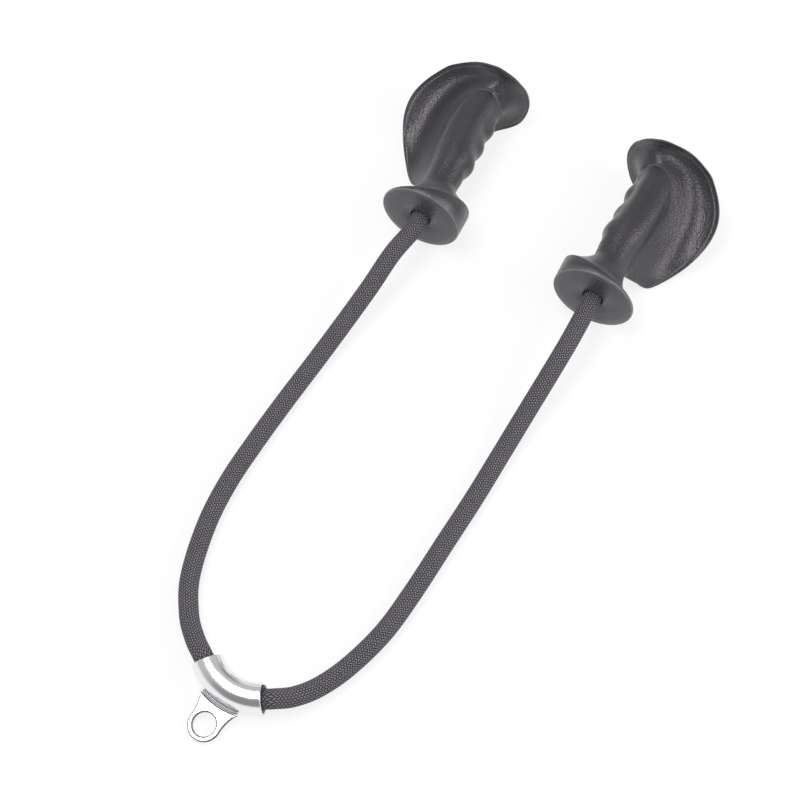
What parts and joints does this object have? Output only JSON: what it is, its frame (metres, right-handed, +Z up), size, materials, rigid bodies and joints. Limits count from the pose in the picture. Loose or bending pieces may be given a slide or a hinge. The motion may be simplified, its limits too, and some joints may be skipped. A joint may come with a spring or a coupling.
{
  "type": "triceps rope attachment",
  "caption": "Triceps rope for a cable machine: braided rope through a bent steel sleeve with a welded eye, and moulded handles that turn on the rope.",
  "frame": {"origin": "on the floor, below the middle of the object's bounding box", "axes": "+Y from the sleeve towards the handles, along their bores; +X to the right; +Z up"},
  "size_m": [0.3008, 0.6511, 0.0723],
  "materials": {
    "handle_rubber": "matte black, fine grain",
    "rope": "black and charcoal braid",
    "sleeve_steel": "polished",
    "weld": "ground and plated",
    "ring_rubber": "black",
    "washer_steel": "zinc plated",
    "ferrule_alloy": "crimped",
    "plug_plastic": "matte black"
  },
  "bodies": {
    "sleeve": {"sleeve_tube": "sleeve_steel", "eye_tab": "sleeve_steel", "eye_weld": "weld", "left_mouth_ring": "ring_rubber", "right_mouth_ring": "ring_rubber", "rope_bend": "rope"},
    "left_leg": {"rope_left": "rope", "rope_end_left": "rope", "left_ferrule": "ferrule_alloy"},
    "left_grip": {"left_handle": "handle_rubber", "left_washer": "washer_steel", "left_plug": "plug_plastic"},
    "right_leg": {"rope_right": "rope", "rope_end_right": "rope", "right_ferrule": "ferrule_alloy"},
    "right_grip": {"right_handle": "handle_rubber", "right_washer": "washer_steel", "right_plug": "plug_plastic"}
  },
  "joints": [
    {"name": "left_leg_swing", "type": "hinge", "parent": "sleeve", "child": "left_leg", "pos_m": [-0.05693, -0.26905, 0.01447], "axis": [0, 0, 1], "range_deg": [0, 35], "deforming": ["rope_left"]},
    {"name": "left_handle_spin", "type": "hinge", "parent": "left_leg", "child": "left_grip", "pos_m": [-0.0829, 0.1611, 0.0362], "axis": [0, 1, 0], "continuous": true},
    {"name": "right_leg_swing", "type": "hinge", "parent": "sleeve", "child": "right_leg", "pos_m": [-0.00065, -0.27558, 0.01504], "axis": [0, 0, -1], "range_deg": [0, 35], "deforming": ["rope_right"]},
    {"name": "right_handle_spin", "type": "hinge", "parent": "right_leg", "child": "right_grip", "pos_m": [0.0829, 0.1515, 0.0362], "axis": [0, 1, 0], "continuous": true}
  ]
}
